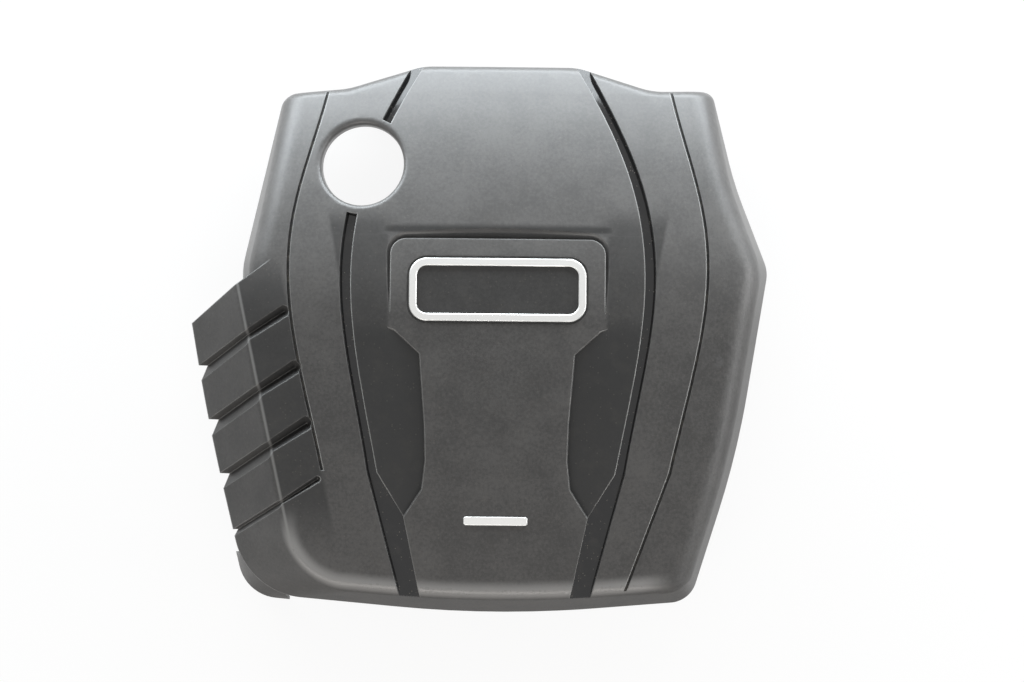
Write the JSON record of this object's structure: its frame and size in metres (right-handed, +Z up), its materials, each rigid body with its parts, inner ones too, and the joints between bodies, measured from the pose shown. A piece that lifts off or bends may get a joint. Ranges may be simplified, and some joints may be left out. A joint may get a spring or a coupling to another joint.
{
  "type": "engine cover",
  "caption": "Crowned engine cover moulding with a round filler hole, curved channels, a T-shaped plateau with a badge frame, and a slatted flank; presses onto ball studs.",
  "frame": {"origin": "centre of the cover's plan box, on the table plane under its feet", "axes": "+Z up out of the face, +Y to the back edge where the crown falls away, +X to the right of the face"},
  "size_m": [0.5428, 0.5133, 0.1218],
  "materials": {
    "cover_plastic": "fine-grained matte moulding, smooth in the channels",
    "satin_silver": "satin plated trim",
    "socket_rubber": "matte moulded rubber"
  },
  "bodies": {
    "root": {"cover_moulding": "cover_plastic", "badge": "satin_silver", "name_bar": "satin_silver", "grommet_front_left": "socket_rubber", "grommet_front_right": "socket_rubber", "grommet_rear_left": "socket_rubber", "grommet_rear_right": "socket_rubber"}
  },
  "joints": []
}
